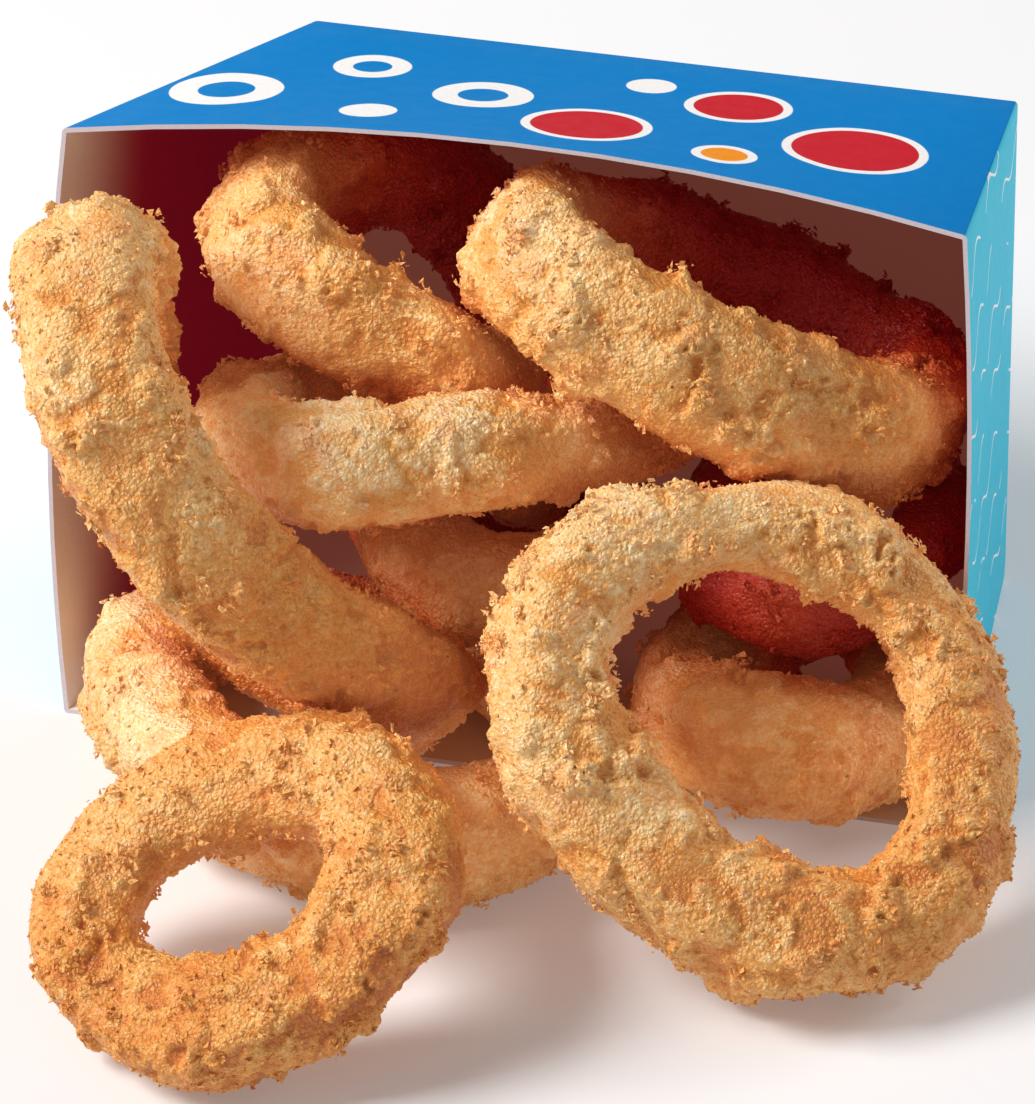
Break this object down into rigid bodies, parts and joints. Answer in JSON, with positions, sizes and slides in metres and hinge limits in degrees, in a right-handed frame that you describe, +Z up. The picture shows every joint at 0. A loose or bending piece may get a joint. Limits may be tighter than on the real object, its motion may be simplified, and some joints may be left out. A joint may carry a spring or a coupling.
{
  "type": "side of onion rings",
  "caption": "Breaded onion rings spilling from the open mouth of a folded paperboard carton that lies on its side.",
  "frame": {"origin": "on the underside of the carton's lower panel, in the middle of the mouth's width and 30 mm behind its front edge", "axes": "+X to the right along the mouth's width as seen from in front, +Y into the carton, +Z up from the surface that it lies on"},
  "size_m": [0.1459, 0.1571, 0.0951],
  "materials": {
    "board": "satin print outside, plain pale board inside",
    "crust": "rough golden breading"
  },
  "bodies": {
    "root": {"carton": "board", "ring_front_small": "crust", "ring_front_large": "crust", "ring_left_tall": "crust", "ring_top_right": "crust", "ring_top_left": "crust", "ring_middle": "crust", "ring_floor_left": "crust", "ring_centre_back": "crust", "ring_floor_right": "crust", "ring_back_right": "crust"}
  },
  "joints": []
}
